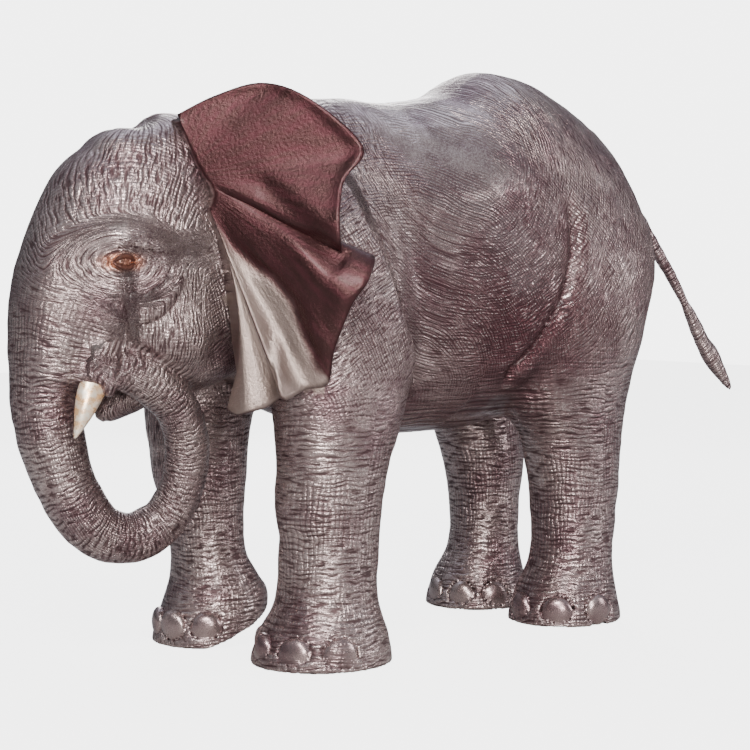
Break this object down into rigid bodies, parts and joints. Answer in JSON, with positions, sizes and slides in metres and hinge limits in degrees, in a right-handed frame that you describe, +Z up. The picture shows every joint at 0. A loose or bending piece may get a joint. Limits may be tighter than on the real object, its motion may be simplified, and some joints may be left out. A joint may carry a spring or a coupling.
{
  "type": "bronze elephant sculpture",
  "caption": "Life-size cast bronze statue of a walking elephant calf, trunk curled back to its mouth, ears half spread, with separate pale-gold tusks.",
  "frame": {"origin": "on the ground, under the middle of the statue's bounding box", "axes": "+X towards the tail, -X the way the calf walks; +Y its right side, -Y its left side; +Z up"},
  "size_m": [2.0036, 0.7244, 1.2953],
  "materials": {
    "patina": "polished dark brown bronze patina",
    "pale_gold": "polished pale gold"
  },
  "bodies": {
    "root": {"bronze_elephant": "patina", "tusk_left": "pale_gold", "tusk_right": "pale_gold"}
  },
  "joints": []
}
